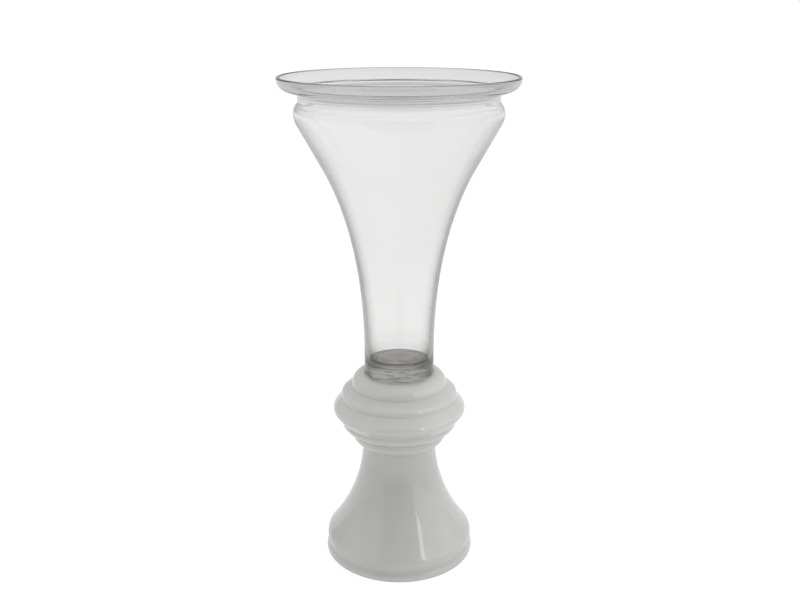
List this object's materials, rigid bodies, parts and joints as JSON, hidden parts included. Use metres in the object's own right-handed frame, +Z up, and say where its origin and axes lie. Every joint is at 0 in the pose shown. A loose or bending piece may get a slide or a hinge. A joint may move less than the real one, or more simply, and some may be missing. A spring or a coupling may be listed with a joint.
{
  "type": "trumpet vase",
  "caption": "Tall clear glass trumpet vase with an upturned rim and a heavy solid foot, glued onto a white opal glass pedestal with a ringed knop and a bell-shaped foot.",
  "frame": {"origin": "centre of the circle that the vase rests on", "axes": "+Z up along the axis that every piece is turned about"},
  "size_m": [0.258, 0.258, 0.5601],
  "materials": {
    "opal_glass": "glossy opaque white glass",
    "clear_glue": "clear cured glue, wrinkled",
    "aged_glue": "slightly yellowed cured glue",
    "clear_glass": "clear polished glass"
  },
  "bodies": {
    "root": {"opal_pedestal": "opal_glass", "adhesive_bed": "clear_glue", "adhesive_bead": "aged_glue", "trumpet_vessel": "clear_glass"}
  },
  "joints": []
}
